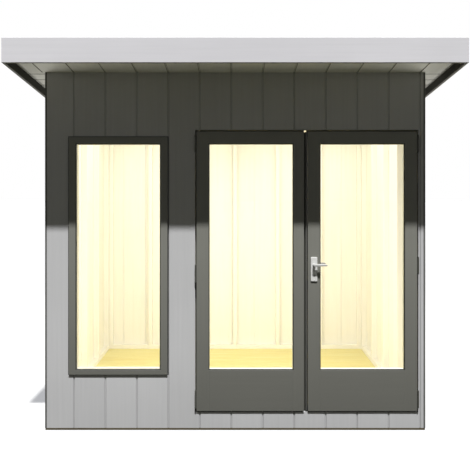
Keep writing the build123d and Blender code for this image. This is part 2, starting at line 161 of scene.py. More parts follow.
def painted_timber(name, colour, axis, roughness=0.8, shine=0.08, streak=0.05, light_by_height=None,
                   board_axis=None, coats=()):
    """Paint on planed timber: grain along axis, painted shade and sheen by height, more coats by
    masks.
    """
    material, tree = new_material(name)
    coords = add(tree, "ShaderNodeTexCoord").outputs
    place = coords["Object"]
    across = add(tree, "ShaderNodeSeparateXYZ", Vector=place).outputs
    stretched = add(tree, "ShaderNodeMapping", Vector=place,
                    Scale=grain_scale(axis, GRAIN_WIDTH, GRAIN_LENGTH)).outputs[0]
    grain = add(tree, "ShaderNodeTexNoise", Vector=stretched, Scale=1.0, Detail=4.0,
                Roughness=0.6).outputs["Fac"]
    cloud = add(tree, "ShaderNodeTexNoise", Vector=place, Scale=2.2, Detail=2.0).outputs["Fac"]
    tone = add(tree, "ShaderNodeMath", {"operation": "ADD"}, _0=grain, _1=cloud).outputs[0]
    if board_axis:
        shifted = add(tree, "ShaderNodeMath", {"operation": "SUBTRACT"}, _0=across[board_axis],
                      _1=FIRST_JOINT).outputs[0]
        counted = add(tree, "ShaderNodeMath", {"operation": "DIVIDE"}, _0=shifted,
                      _1=BOARD_COVER).outputs[0]
        number = add(tree, "ShaderNodeMath", {"operation": "FLOOR"}, _0=counted).outputs[0]
        chance = add(tree, "ShaderNodeTexWhiteNoise", {"noise_dimensions": "1D"}, W=number)
        tone = add(tree, "ShaderNodeMath", {"operation": "MULTIPLY_ADD"},
                   _0=chance.outputs["Value"], _1=0.35, _2=tone).outputs[0]
    level = add(tree, "ShaderNodeMapRange", Value=tone, From_Min=0.7, From_Max=1.5,
                To_Min=1 - streak, To_Max=1 + streak).outputs[0]
    # Painted light by height: darker towards the foot as painted shade, lighter higher up as
    # painted sheen.
    if light_by_height:
        height_light = add(tree, "ShaderNodeMapRange", Value=across["Z"], From_Min=light_by_height[0],
                     From_Max=light_by_height[1], To_Min=light_by_height[2], To_Max=light_by_height[3]).outputs[0]
        level = add(tree, "ShaderNodeMath", {"operation": "MULTIPLY"}, _0=level,
                    _1=height_light).outputs[0]
    paint = add(tree, "ShaderNodeMix", {"data_type": "RGBA", "blend_type": "MULTIPLY"},
                _0=1.0, _6=linear(colour), _7=level).outputs[2]
    for coat, mask in coats:
        paint = add(tree, "ShaderNodeMix", {"data_type": "RGBA"}, _0=mask(tree, coords),
                    _6=paint, _7=linear(coat)).outputs[2]
    gloss = add(tree, "ShaderNodeMapRange", Value=grain, To_Min=roughness - 0.06,
                To_Max=roughness + 0.06).outputs[0]
    bump = add(tree, "ShaderNodeBump", Height=grain, Strength=0.12, Distance=0.6 * MM).outputs[0]
    shader = add(tree, "ShaderNodeBsdfPrincipled", Base_Color=paint, Roughness=gloss, IOR=1.5,
                 Specular_IOR_Level=shine, Normal=bump)
    add(tree, "ShaderNodeOutputMaterial", Surface=shader.outputs[0])
    return material


# %% [markdown]
# Some paintwork has more than one colour. The joinery is dark, but its reveals behind the glass
# are pale, and the splayed bead round each pane is nearly black. Painted shade darkens the V
# joints of the boards, the backs of the side fascias and the undersides of the fascias. A mask
# chooses each colour, from the place of a point or from the way that its face looks. A coat that
# comes later in a list lies over the earlier ones.

# %% Masks for more colours, and the paints
BEAD_BACK = -770 * MM
GROOVE = 8 * MM
JOINT_FLATNESS = 0.95
LOOKS_DOWN = -0.8
LOOKS_INWARD = -0.5


def round_pane(glass_name, reach, compare):
    """A mask that is one near a pane: within its sight size plus reach, behind or before it."""
    low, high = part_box(glass_name)
    inset = Vector((GROOVE - reach, 0, GROOVE - reach))
    low, high = low + inset, high - inset
    middle, half = (low + high) / 2, (high - low) / 2

    def mask(tree, coords):
        place = add(tree, "ShaderNodeSeparateXYZ", Vector=coords["Object"]).outputs
        chosen = add(tree, "ShaderNodeMath", {"operation": compare}, _0=place["Y"],
                     _1=BEAD_BACK).outputs[0]
        for axis in (0, 2):
            within = add(tree, "ShaderNodeMath", {"operation": "COMPARE"}, _0=place[axis],
                         _1=middle[axis], _2=half[axis]).outputs[0]
            chosen = add(tree, "ShaderNodeMath", {"operation": "MULTIPLY"}, _0=chosen,
                         _1=within).outputs[0]
        return chosen

    return mask


def between(source, axis, low, high):
    """A mask that is one where the Object place or the Normal is between two levels."""
    def mask(tree, coords):
        value = add(tree, "ShaderNodeSeparateXYZ", Vector=coords[source]).outputs[axis]
        return add(tree, "ShaderNodeMath", {"operation": "COMPARE"}, _0=value,
                   _1=(low + high) / 2, _2=(high - low) / 2).outputs[0]

    return mask


def in_joint(axis):
    """A mask that is one on faces that slope away from the face of the boards."""
    return between("Normal", axis, -JOINT_FLATNESS, JOINT_FLATNESS)


def back_of_fascia(tree, coords):
    """One on faces that look towards the middle of the pod."""
    facing = add(tree, "ShaderNodeSeparateXYZ", Vector=coords["Normal"]).outputs["X"]
    place = add(tree, "ShaderNodeSeparateXYZ", Vector=coords["Object"]).outputs["X"]
    inward = add(tree, "ShaderNodeMath", {"operation": "MULTIPLY"}, _0=facing, _1=place).outputs[0]
    return add(tree, "ShaderNodeMath", {"operation": "LESS_THAN"}, _0=inward,
               _1=LOOKS_INWARD).outputs[0]


WALL_GREY = "#b8b8b9"
FASCIA_GREY = "#d3d2d6"
SOFFIT_GREY = "#e3e1d7"
# Painted shade in the V joints of the wall boards and of the soffit boards.
WALL_JOINT_SHADE = "#a2a2a3"
CORNER_GREY = "#656563"
SOFFIT_JOINT_SHADE = "#979489"
JOINERY_GREY = "#71716b"
ROOM_CREAM = "#efecdf"
# Painted shade: the backs of the side fascias are drawn nearly black, as they lie in shade.
FASCIA_BACK_SHADE = "#3c3b36"
# Painted shade on the undersides of the fascias, the faces that look down.
FASCIA_UNDERSIDE_SHADE = "#6b6a63"
# Painted shade: the window rails' reveals are a darker cream than the stiles', against the sun on
# the sill.
WINDOW_RAIL_CREAM_DIMMED = "#bdbaae"
BEAD_GREY = "#373733"
# Painted shade on the splays that look up, offsetting the sunlight that falls on them.
SPLAY_SUN_DIMMED = "#2c2c29"
# Painted shade: the meeting edge of the right leaf is drawn black, for the shade in the gap.
MEETING_GAP_SHADE = "#1d1d1b"
UNDERSIDE = between("Normal", "Z", -1.1, LOOKS_DOWN)
# Painted shade: walls and corner beads darken towards the ground, from full tone at 0.5 m to 0.88.
WALL_FOOT_SHADE = (0.0, 0.5, 0.88, 1.0)
# Painted sheen and shade on the joinery: 0.68 of its tone at 0.15 m, rising to 1.14 at 1.15 m.
JOINERY_SHEEN_BY_HEIGHT = (0.15, 1.15, 0.68, 1.14)
wall_paint_z = painted_timber("matt_wall_paint", WALL_GREY, "Z", light_by_height=WALL_FOOT_SHADE, board_axis="X",
                              coats=[(WALL_JOINT_SHADE, in_joint("Y"))])
wall_paint_side = painted_timber("matt_wall_paint_side", WALL_GREY, "Z", light_by_height=WALL_FOOT_SHADE,
                                 board_axis="Y", coats=[(WALL_JOINT_SHADE, in_joint("X"))])
fascia_paint_x = painted_timber("matt_fascia_paint_front", FASCIA_GREY, "X",
                                coats=[(FASCIA_UNDERSIDE_SHADE, UNDERSIDE)])
fascia_paint_y = painted_timber("matt_fascia_paint_side", FASCIA_GREY, "Y",
                                coats=[(FASCIA_UNDERSIDE_SHADE, UNDERSIDE), (FASCIA_BACK_SHADE, back_of_fascia)])
soffit_joint_shade = [(SOFFIT_JOINT_SHADE, in_joint("Z"))]
soffit_paint_y = painted_timber("matt_soffit_paint_front", SOFFIT_GREY, "Y", coats=soffit_joint_shade)
soffit_paint_x = painted_timber("matt_soffit_paint_side", SOFFIT_GREY, "X", coats=soffit_joint_shade)
satin = {"roughness": 0.5, "shine": 0.12, "streak": 0.04, "light_by_height": JOINERY_SHEEN_BY_HEIGHT}
joinery_z = painted_timber("satin_joinery_paint", JOINERY_GREY, "Z", **satin)
joinery_x = painted_timber("satin_joinery_paint_level", JOINERY_GREY, "X", **satin)
corner_paint = painted_timber("matt_corner_bead_paint", CORNER_GREY, "Z", light_by_height=WALL_FOOT_SHADE)
print("painted timber finishes", len(bpy.data.materials))

# %% [markdown]
# Inside, the frame and the backs of the boards are planed pine with no finish. Pine is pale
# cream with faint, straight streaks of late wood. Noise that is stretched along the board and
# bent a little gives them. The floor has the same wood in a deeper, oiled tone.

# %% Bare timber
def bare_timber(name, pale, streaked, axis, ring_width=22 * MM, roughness=0.6):
    """Planed softwood with growth rings that run along one axis."""
    material, tree = new_material(name)
    place = add(tree, "ShaderNodeTexCoord").outputs["Object"]
    stretched = add(tree, "ShaderNodeMapping", Vector=place,
                    Scale=grain_scale(axis, ring_width, 30 * ring_width)).outputs[0]
    rings = add(tree, "ShaderNodeTexNoise", Vector=stretched, Scale=1.0, Detail=5.0,
                Roughness=0.65, Distortion=0.6).outputs["Fac"]
    share = add(tree, "ShaderNodeMapRange", Value=rings, From_Min=0.35, From_Max=0.72).outputs[0]
    wood = add(tree, "ShaderNodeMix", {"data_type": "RGBA"}, _0=share, _6=linear(pale),
               _7=linear(streaked)).outputs[2]
    bump = add(tree, "ShaderNodeBump", Height=rings, Strength=0.15, Distance=0.5 * MM).outputs[0]
    shader = add(tree, "ShaderNodeBsdfPrincipled", Base_Color=wood, Roughness=roughness,
                 IOR=1.5, Specular_IOR_Level=0.3, Normal=bump)
    add(tree, "ShaderNodeOutputMaterial", Surface=shader.outputs[0])
    return material


PALE_PINE = "#f3efe1"
STREAKED_PINE = "#efeada"
pine_z = bare_timber("planed_pine_upright", PALE_PINE, STREAKED_PINE, "Z")
pine_x = bare_timber("planed_pine_level", PALE_PINE, STREAKED_PINE, "X")
pine_y = bare_timber("planed_pine_rafter", PALE_PINE, STREAKED_PINE, "Y")
floor_pine = bare_timber("oiled_floor_pine", "#e9de98", "#dfce7a", "X")
bearer_pine = bare_timber("treated_bearer_pine", "#4f4733", "#3f3725", "X", roughness=0.8)
print("finishes so far", len(bpy.data.materials))

# %% [markdown]
# The roof is covered with one sheet of black rubber. It is dull, with a fine leathery skin and
# a little pale dust, so it is drawn with a small bump and a slow change of tone.

# %% Rubber roof sheet
def rubber_sheet(name, black, dusty):
    """Black rubber with a fine skin and some dust."""
    material, tree = new_material(name)
    place = add(tree, "ShaderNodeTexCoord").outputs["Object"]
    dust = add(tree, "ShaderNodeTexNoise", Vector=place, Scale=3.0, Detail=6.0).outputs["Fac"]
    skin = add(tree, "ShaderNodeTexNoise", Vector=place, Scale=1 / (9 * MM)).outputs["Fac"]
    share = add(tree, "ShaderNodeMapRange", Value=dust, From_Min=0.35, From_Max=0.8,
                To_Max=0.6).outputs[0]
    tone = add(tree, "ShaderNodeMix", {"data_type": "RGBA"}, _0=share, _6=linear(black),
               _7=linear(dusty)).outputs[2]
    bump = add(tree, "ShaderNodeBump", Height=skin, Strength=0.3, Distance=0.5 * MM).outputs[0]
    shader = add(tree, "ShaderNodeBsdfPrincipled", Base_Color=tone, Roughness=0.7, IOR=1.52,
                 Specular_IOR_Level=0.4, Normal=bump)
    add(tree, "ShaderNodeOutputMaterial", Surface=shader.outputs[0])
    return material


roof_rubber = rubber_sheet("black_roofing_rubber", "#26282a", "#3f4143")

# %% [markdown]
# The lever set is powder coated in silver grey, and the hinges in a dull dark grey that goes with
# the joinery. The lever is drawn a shade darker than its plates, painted shade that offsets the
# light on its rounded top. The coat is a plastic skin with a fine orange-peel bump, so it takes
# shadows as paint does and has a soft shine on its edges.

# %% Powder coat
def powder_coat(name, colour, speckle, shine=0.5, roughness=0.38):
    """Powder coat with a fine orange-peel skin and a metallic speckle."""
    material, tree = new_material(name)
    place = add(tree, "ShaderNodeTexCoord").outputs["Object"]
    peel = add(tree, "ShaderNodeTexNoise", Vector=place, Scale=1 / (1.5 * MM)).outputs["Fac"]
    share = add(tree, "ShaderNodeMapRange", Value=peel, From_Min=0.45, From_Max=0.7).outputs[0]
    tone = add(tree, "ShaderNodeMix", {"data_type": "RGBA"}, _0=share, _6=linear(colour),
               _7=linear(speckle)).outputs[2]
    bump = add(tree, "ShaderNodeBump", Height=peel, Strength=0.1, Distance=0.1 * MM).outputs[0]
    shader = add(tree, "ShaderNodeBsdfPrincipled", Base_Color=tone, Roughness=roughness, IOR=1.5,
                 Specular_IOR_Level=shine, Normal=bump)
    add(tree, "ShaderNodeOutputMaterial", Surface=shader.outputs[0])
    return material


silver_coat = powder_coat("silver_powder_coat", "#cfcfcd", "#bdbdbb")
# Painted shade: a darker copy of the silver coat for the lever.
dimmed_lever_coat = powder_coat("silver_lever_coat", "#b6b6b4", "#a6a6a4", shine=0.2, roughness=0.5)
hinge_coat = powder_coat("dark_powder_coat", "#484843", "#50504b", shine=0.12, roughness=0.5)
print("finishes so far", len(bpy.data.materials))

# %% [markdown]
# The panes are 4 mm clear float glass. What the eye sees is the room behind, and a reflection
# that grows towards the edge of vision. A mirror that is almost all see-through, and less so at
# a slant, gives both, and lets daylight through to the floor without slow caustics. The slant
# comes from Layer Weight's Facing, which is the same on both faces of the pane.

# %% Clear glass
def clear_glass():
    """Clear float glass: mostly see-through, with a stronger reflection at a slant."""
    material, tree = new_material("clear_float_glass")
    slant = add(tree, "ShaderNodeLayerWeight", Blend=0.5).outputs["Facing"]
    steep = add(tree, "ShaderNodeMath", {"operation": "POWER"}, _0=slant, _1=5.0).outputs[0]
    cover = add(tree, "ShaderNodeMapRange", Value=steep, To_Min=0.04, To_Max=1.0).outputs[0]
    shader = add(tree, "ShaderNodeBsdfPrincipled", Base_Color=linear("#eef3f0"), Metallic=1.0,
                 Roughness=0.03, Alpha=cover)
    add(tree, "ShaderNodeOutputMaterial", Surface=shader.outputs[0])
    return material


float_glass = clear_glass()

# %% [markdown]
# A black rubber seal closes the gap between the leaves. It is a soft extrusion with a dull skin.

# %% Rubber seal finish
door_rubber = rubber_sheet("black_door_seal_rubber", "#151617", "#242526")

# %% [markdown]
# The pieces that the solids already show truly keep their mesh and get a finish. Sawn timber
# never has a razor edge. A Weld modifier joins the loose triangles of the mesh, a Decimate
# modifier dissolves the lines across flat faces, and a Bevel modifier then eases each arris by a
# millimetre or so, which catches a thin line of light.

# %% Finishes on the solids
def finish_solid(names, material, arris=1.5 * MM):
    """Give solids a material and eased edges."""
    for name in names:
        piece = nodes[name]
        piece.data.materials.clear()
        piece.data.materials.append(material)
        if arris:
            piece.modifiers.new("join", "WELD").merge_threshold = 0.01 * MM
            flat = piece.modifiers.new("flat", "DECIMATE")
            flat.decimate_type = "DISSOLVE"
            flat.angle_limit = math.radians(1)
            ease = piece.modifiers.new("arris", "BEVEL")
            ease.width = arris
            ease.segments = 2
            ease.limit_method = "ANGLE"
            ease.angle_limit = math.radians(40)


FASCIA_ARRIS = 1 * MM
FRAME_ARRIS = 0.6 * MM
FINE_ARRIS = 0.5 * MM
finish_solid(["front_fascia", "rear_fascia"], fascia_paint_x, FASCIA_ARRIS)
finish_solid(["side_fascias"], fascia_paint_y, FASCIA_ARRIS)
finish_solid(["front_studs", "left_studs", "right_studs", "rear_studs"], pine_z)
finish_solid(["front_rails", "rear_plates"], pine_x)
finish_solid(["left_plates", "right_plates", "roof_rafters"], pine_y)
finish_solid(["floor_bearers"], bearer_pine, FINE_ARRIS)
finish_solid(["roof_covering"], roof_rubber, 0)
finish_solid(["window_glass", "left_door_glass", "right_door_glass"], float_glass, 0)
finish_solid(["handle_backplates"], silver_coat, 0)
finish_solid(["lever_handle"], dimmed_lever_coat, 0)
finish_solid(["left_hinges_fixed", "left_hinges_moving", "right_hinges_fixed",
              "right_hinges_moving"], hinge_coat, 0)
print("solids finished", sum(1 for n in nodes.values() if n.data.materials))

# %% [markdown]
# The frames of the window and of the two leaves take their paint with coats over it: first the
# pale reveal behind the glass, then the dark bead. The last coats are painted shade: black on the
# edge of the right leaf that meets the left one, and a darker tone on the splays that look to the
# sky, against the sunlight on them. The reveal on the window's rails is a darker cream than on its
# stiles, painted shade against the sun on the sill, and the rebate of the meeting strip is painted
# dark as its shade.

# %% Paint on the joinery
finish_solid(["door_stops"], joinery_z)
STRIP_REBATE = -775 * MM
# Painted shade: the recessed rebate of the meeting strip is drawn in the dark bead grey.
strip_rebate_shade = [(BEAD_GREY, between("Object", "Y", STRIP_REBATE, 0))]
strip_paint = painted_timber("satin_meeting_strip_paint", JOINERY_GREY, "Z", coats=strip_rebate_shade,
                             **satin)
finish_solid(["left_door_meeting_strip"], strip_paint, FINE_ARRIS)
finish_solid(["door_threshold"], joinery_x)
REVEAL_REACH = 1 * MM
BEAD_REACH = 5.5 * MM
# Width of the painted shade on the meeting edge.
GAP_SHADE_WIDTH = 0.3 * MM
meeting_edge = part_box("right_door_stiles")[0].x
in_the_gap = between("Object", "X", meeting_edge - GAP_SHADE_WIDTH, meeting_edge + GAP_SHADE_WIDTH)
looks_half_up = between("Normal", "Z", 0.5, 0.9)
last_coat = {"stiles": (MEETING_GAP_SHADE, in_the_gap), "rails": (SPLAY_SUN_DIMMED, looks_half_up)}
for frame_name, sill in (("window", WINDOW_RAIL_CREAM_DIMMED), ("left_door", ROOM_CREAM),
                         ("right_door", ROOM_CREAM)):
    for part, grain, reveal in (("stiles", "Z", ROOM_CREAM), ("rails", "X", sill)):
        pane_name = f"{frame_name}_glass"
        coats = [(reveal, round_pane(pane_name, REVEAL_REACH, "GREATER_THAN")),
                 (BEAD_GREY, round_pane(pane_name, BEAD_REACH, "LESS_THAN")), last_coat[part]]
        paint = painted_timber(f"satin_{frame_name}_{part}_paint", JOINERY_GREY, grain,
                               coats=coats, **satin)
        finish_solid([f"{frame_name}_{part}"], paint, FRAME_ARRIS)
print("frames painted", sum(1 for n in nodes.values() if n.data.materials))

# %% [markdown]
# The walls are tongue and groove boards with a V along each joint. One board is a cube scaled
# to its size, with the front edges at its joints bevelled flat. A narrow slot is left between
# two boards, closed by the tongue, and it gives each V its dark line. A panel is a row of such
# boards, cut by a plane where its head follows the roof. Faces towards the room are bare pine.

# %% A row of V-jointed boards
V_CHAMFER = 5 * MM
V_SLOT = 1.6 * MM
LEAST_BOARD = 5 * MM
TONGUE = 8 * MM


def box_of(mesh, low, high):
    """A cube stretched between two corners."""
    shape = Matrix.Translation((low + high) / 2) @ Matrix.Diagonal((*(high - low), 1))
    return bmesh.ops.create_cube(mesh, size=1.0, matrix=shape)["verts"]


def row_of_boards(mesh, low, high, width_axis, face_axis, outside, joints, chamfer, slot):
    """Boards between two corners, with a chamfer, a slot and a tongue at each joint."""
    first, last = low[width_axis] + LEAST_BOARD, high[width_axis] - LEAST_BOARD
    inner = [joint for joint in joints if first < joint < last]
    stops = [low[width_axis], *inner, high[width_axis]]
    open_sides = {stop for stop in stops if any(abs(stop - joint) < 1e-4 for joint in joints)}
    face_at = high[face_axis] if outside > 0 else low[face_axis]
    for start, end in zip(stops, stops[1:]):
        a, b = Vector(low), Vector(high)
        a[width_axis] = start + slot / 2 if start in open_sides else start
        b[width_axis] = end - slot / 2 if end in open_sides else end
        corners = box_of(mesh, a, b)
        sides = [a[width_axis]] * (start in open_sides) + [b[width_axis]] * (end in open_sides)
        grooved = [
            edge for edge in dict.fromkeys(e for corner in corners for e in corner.link_edges)
            if all(abs(v.co[face_axis] - face_at) < 1e-6 for v in edge.verts)
            and any(all(abs(v.co[width_axis] - side) < 1e-6 for v in edge.verts) for side in sides)
        ]
        if grooved:
            bmesh.ops.bevel(mesh, geom=grooved, offset=chamfer, offset_type="OFFSET",
                            segments=1, profile=0.5, affect="EDGES", material=-1)
    for joint in open_sides - {low[width_axis]}:
        a, b = Vector(low), Vector(high)
        third = (b[face_axis] - a[face_axis]) / 3
        a[width_axis], b[width_axis] = joint - TONGUE / 2, joint + TONGUE / 2
        a[face_axis], b[face_axis] = a[face_axis] + third, b[face_axis] - third * 0.8
        box_of(mesh, a, b)


def cut_to_roof(mesh, level):
    """Cut the boards off along the plane of the roof that is at level at the front."""
    front = Vector((0, roof_front, level))
    up = Vector((0, ROOF_FALL, 1)).normalized()
    everything = mesh.verts[:] + mesh.edges[:] + mesh.faces[:]
    cut = bmesh.ops.bisect_plane(mesh, geom=everything, plane_co=front, plane_no=up,
                                 clear_outer=True)["geom_cut"]
    bmesh.ops.holes_fill(mesh, edges=[g for g in cut if isinstance(g, bmesh.types.BMEdge)])


def finished_piece(name, mesh, materials, body, slot, *replaced, inside=None):
    """Turn a bmesh into an object that rides on a body and stands for its solids."""
    bmesh.ops.recalc_face_normals(mesh, faces=mesh.faces[:])
    if inside:
        axis, sign = inside
        for face in mesh.faces:
            face.material_index = 1 if face.normal[axis] * sign > 0.9 else 0
    data = bpy.data.meshes.new(name)
    mesh.to_mesh(data)
    mesh.free()
    for material in materials:
        data.materials.append(material)
    piece = bpy.data.objects.new(name, data)
    bpy.context.scene.collection.objects.link(piece)
    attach(piece, body)
    if replaced:
        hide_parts(*replaced)
    print(name, "faces", len(data.polygons))
    return piece


# %% [markdown]
# The front is boarded in the same three panels as the solids. The joints run on in line over the
# window and the doors, because one board was fixed first and then cut out round the openings.

# %% Front wall boards
WALL_HEAD = 2326 * MM
JOINTS = 14
front_joints = [FIRST_JOINT + n * BOARD_COVER for n in range(JOINTS)]


def solid_parts(name):
    """The corners of each separate solid of a node."""
    mesh = bmesh.new()
    mesh.from_mesh(nodes[name].data)
    bmesh.ops.remove_doubles(mesh, verts=mesh.verts[:], dist=0.01 * MM)
    parts, seen = [], set()
    for start in mesh.verts:
        if start in seen:
            continue
        group, waiting = [], [start]
        seen.add(start)
        while waiting:
            vert = waiting.pop()
            group.append(vert)
            near = [e.other_vert(vert) for e in vert.link_edges]
            near = [v for v in near if v not in seen]
            seen.update(near)
            waiting.extend(near)
        parts.append([[f(v.co[i] for v in group) for i in range(3)] for f in (min, max)])
    mesh.free()
    return sorted(parts)


for panel in ("piers", "window_bay", "door_bay"):
    node_name = f"front_cladding_{panel}"
    boards = bmesh.new()
    for low, high in solid_parts(node_name):
        row_of_boards(boards, low, high, 0, 1, -1, front_joints, V_CHAMFER, V_SLOT)
    cut_to_roof(boards, WALL_HEAD)
    finished_piece(f"front_boards_{panel}", boards, [wall_paint_z, pine_z], "pod",
                   "cladding_paint", node_name, inside=(1, 1))

# %% [markdown]
# The side and rear walls can't be seen in the photograph. They repeat the same boards.

# %% Side and rear boards
side_joints = [roof_front + n * BOARD_COVER for n in range(JOINTS)]
for name, outside in (("left_cladding", -1), ("right_cladding", 1)):
    boards = bmesh.new()
    row_of_boards(boards, *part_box(name), 1, 0, outside, side_joints, V_CHAMFER, V_SLOT)
    cut_to_roof(boards, WALL_HEAD)
    finished_piece(name.replace("cladding", "boards"), boards, [wall_paint_side, pine_z], "pod",
                   "cladding_paint", name, inside=(0, -outside))

boards = bmesh.new()
row_of_boards(boards, *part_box("rear_cladding"), 0, 1, 1, front_joints, V_CHAMFER, V_SLOT)
cut_to_roof(boards, WALL_HEAD)
finished_piece("rear_boards", boards, [wall_paint_z, pine_z], "pod", "cladding_paint",
               "rear_cladding", inside=(1, -1))

# %% [markdown]
# A square bead in a darker grey covers each corner, where the ends of two walls of boards meet.
# It stands 3 mm proud of the side and 1 mm of the front. Its outer edge is rounded, and its head
# is cut to the fall, under the soffit.

# %% Corner beads
BEAD = 12 * MM
BEAD_OUT = Vector((3 * MM, 1 * MM, 0))
BEAD_HEAD = 2313.5 * MM
BEAD_LENGTH = 2.4
rear_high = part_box("rear_cladding")[1]
for end, side, outer_y in (("front", -1, wall_low.y), ("front", 1, wall_low.y),
                           ("rear", -1, rear_high.y), ("rear", 1, rear_high.y)):
    bead = bmesh.new()
    turn = -1 if end == "front" else 1
    outer = Vector((side * (wall_high.x + BEAD_OUT.x), outer_y + turn * BEAD_OUT.y, wall_low.z))
    inner = outer - Vector((side * BEAD, turn * BEAD, -BEAD_LENGTH))
    low = Vector([min(pair) for pair in zip(outer, inner)])
    high = Vector([max(pair) for pair in zip(outer, inner)])
    edges = dict.fromkeys(e for v in box_of(bead, low, high) for e in v.link_edges)
    arris = [e for e in edges if all((v.co.xy - outer.xy).length < 1e-6 for v in e.verts)]
    bmesh.ops.bevel(bead, geom=arris, offset=2 * MM, offset_type="OFFSET", segments=4,
                    profile=0.5, affect="EDGES", material=-1)
    cut_to_roof(bead, BEAD_HEAD)
    finished_piece(f"{end}_{'left' if side < 0 else 'right'}_corner_bead", bead, [corner_paint],
                   "pod", "cladding_paint")

# %% [markdown]
# The soffits under the overhangs are boards too. They are made level and then sheared, so that
# they follow the fall of the roof while their edges stay upright against the fascias. The joints
# of the front canopy run on from those of the wall, and the side soffits have short cross boards.

# %% Soffit boards
SOFFIT_THICK = 12 * MM
SOFFIT_LEVEL = 2314 * MM
SHORT_COVER = 136 * MM
shear = Matrix.Identity(4)
shear[2][1] = -ROOF_FALL
shear[2][3] = ROOF_FALL * roof_front


def soffit_row(name, node_name, width_axis, joints, material):
    """Boards under an overhang, made level and sheared to the fall."""
    rows = bmesh.new()
    for low, high in solid_parts(node_name):
        flat_low = (low[0], low[1], SOFFIT_LEVEL)
        flat_high = (high[0], high[1], SOFFIT_LEVEL + SOFFIT_THICK)
        row_of_boards(rows, flat_low, flat_high, width_axis, 2, -1, joints, V_CHAMFER, V_SLOT)
    bmesh.ops.transform(rows, matrix=shear, verts=rows.verts[:])
    finished_piece(name, rows, [material], "pod", "soffit_paint", node_name)


first_short = wall_low.y + 39 * MM
short_joints = [first_short + n * SHORT_COVER for n in range(JOINTS)]
soffit_row("front_soffit_boards", "front_soffit", 0, front_joints, soffit_paint_y)
soffit_row("side_soffit_boards", "side_soffits", 1, short_joints, soffit_paint_x)
soffit_row("rear_soffit_boards", "rear_soffit", 0, front_joints, soffit_paint_y)

# %% [markdown]
# The floor is laid in boards from side to side, with tight joints that are only eased a little.
# The roof boards show their undersides between the rafters, to someone who stands in the doorway.

# %% Floor and roof boards
FLOOR_COVER = 120 * MM
FLOOR_CHAMFER = 1.5 * MM
FLOOR_SLOT = 0.5 * MM
floor_low, floor_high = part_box("floor_boards")
floor_joints = [floor_low.y + n * FLOOR_COVER for n in range(1, 16)]
boards = bmesh.new()
row_of_boards(boards, floor_low, floor_high, 1, 2, 1, floor_joints, FLOOR_CHAMFER, FLOOR_SLOT)
finished_piece("floor_board_row", boards, [floor_pine], "pod", "floor_pine", "floor_boards")

ROOF_BOARD_LEVEL = 2373 * MM
ROOF_BOARD_THICK = 12 * MM
roof_board_low, roof_board_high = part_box("roof_boards")
roof_joints = [roof_board_low.y + n * SHORT_COVER for n in range(1, 18)]
boards = bmesh.new()
row_of_boards(
    boards,
    (roof_board_low.x, roof_board_low.y, ROOF_BOARD_LEVEL),
    (roof_board_high.x, roof_board_high.y, ROOF_BOARD_LEVEL + ROOF_BOARD_THICK),
    1, 2, -1, roof_joints, V_CHAMFER, V_SLOT,
)
bmesh.ops.transform(boards, matrix=shear, verts=boards.verts[:])
finished_piece("roof_board_row", boards, [pine_x], "pod", "framing_pine", "roof_boards")

# %% [markdown]
# A black sealant joint closes the gap round the window frame, and its black is painted shade
# for the shadow in that gap. One quad the size of the opening is inset by the width of the joint,
# its middle is deleted, and the ring that is left is extruded to its depth, so the corners come
# out mitred.

# %% Window sealant, black as painted shade in the gap
JOINT_WIDTH = 5 * MM
JOINT_DEPTH = 6 * MM
JOINT_SETBACK = 4 * MM
frame_low, frame_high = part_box("window_stiles")
opening = frame_high - frame_low + Vector((2 * JOINT_WIDTH, 0, 2 * JOINT_WIDTH))
middle = (frame_low + frame_high) / 2
middle.y = wall_low.y + JOINT_SETBACK
stand = Matrix.Translation(middle) @ Matrix.Rotation(math.pi / 2, 4, "X")
stand = stand @ Matrix.Diagonal((opening.x, opening.z, 1, 1))
sealant = bmesh.new()
bmesh.ops.create_grid(sealant, x_segments=1, y_segments=1, size=0.5, matrix=stand)
pane = sealant.faces[:]
bmesh.ops.inset_individual(sealant, faces=pane, thickness=JOINT_WIDTH, use_even_offset=True)
bmesh.ops.delete(sealant, geom=pane, context="FACES_ONLY")
grown = bmesh.ops.extrude_face_region(sealant, geom=sealant.faces[:])["geom"]
bmesh.ops.translate(sealant, vec=(0, JOINT_DEPTH, 0),
                    verts=[g for g in grown if isinstance(g, bmesh.types.BMVert)])
finished_piece("window_sealant_gap_shade", sealant, [door_rubber], "pod", "joinery_paint")

# %% [markdown]
# The gap between the two leaves is closed by a rubber fin in the meeting strip of the left leaf.
# A fin is a thin bar whose free edge is rounded by a bevel, and it stops just short of the right
# leaf, so that either leaf still swings clear.

# %% Door seal
FIN_ROOT = 1 * MM
FIN_REACH = 4.6 * MM
FIN_THICK = 3 * MM
FIN_FRONT = -782 * MM
strip_low, strip_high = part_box("left_door_meeting_strip")
seal = bmesh.new()
fin_low = Vector((strip_high.x - FIN_ROOT, FIN_FRONT, strip_low.z))
fin_high = Vector((strip_high.x + FIN_REACH, FIN_FRONT + FIN_THICK, strip_high.z))
fin_edges = dict.fromkeys(e for v in box_of(seal, fin_low, fin_high) for e in v.link_edges)
free = [e for e in fin_edges if all(abs(v.co.x - fin_high.x) < 1e-6 for v in e.verts)
        and abs(e.verts[0].co.z - e.verts[1].co.z) > 0.1]
bmesh.ops.bevel(seal, geom=free, offset=1.2 * MM, offset_type="OFFSET", segments=3, profile=0.5,
                affect="EDGES", material=-1)
finished_piece("door_seal_fin", seal, [door_rubber], "left_door", "joinery_paint")

# %% [markdown]
# Screws hold the hinges and the plates of the lever. Each has a low, slightly coned head with a
# slot. One head is a short cone whose top is cut twice across, and the strip between the cuts is
# pushed in to make the slot. The rest are copies of it in one mesh for each body.

# %% Screw heads
HEAD_RADIUS = 3.2 * MM
HEAD_HEIGHT = 0.8 * MM
SLOT_WIDTH = 0.9 * MM
CONE = 0.8
TURN_BETWEEN = 0.7

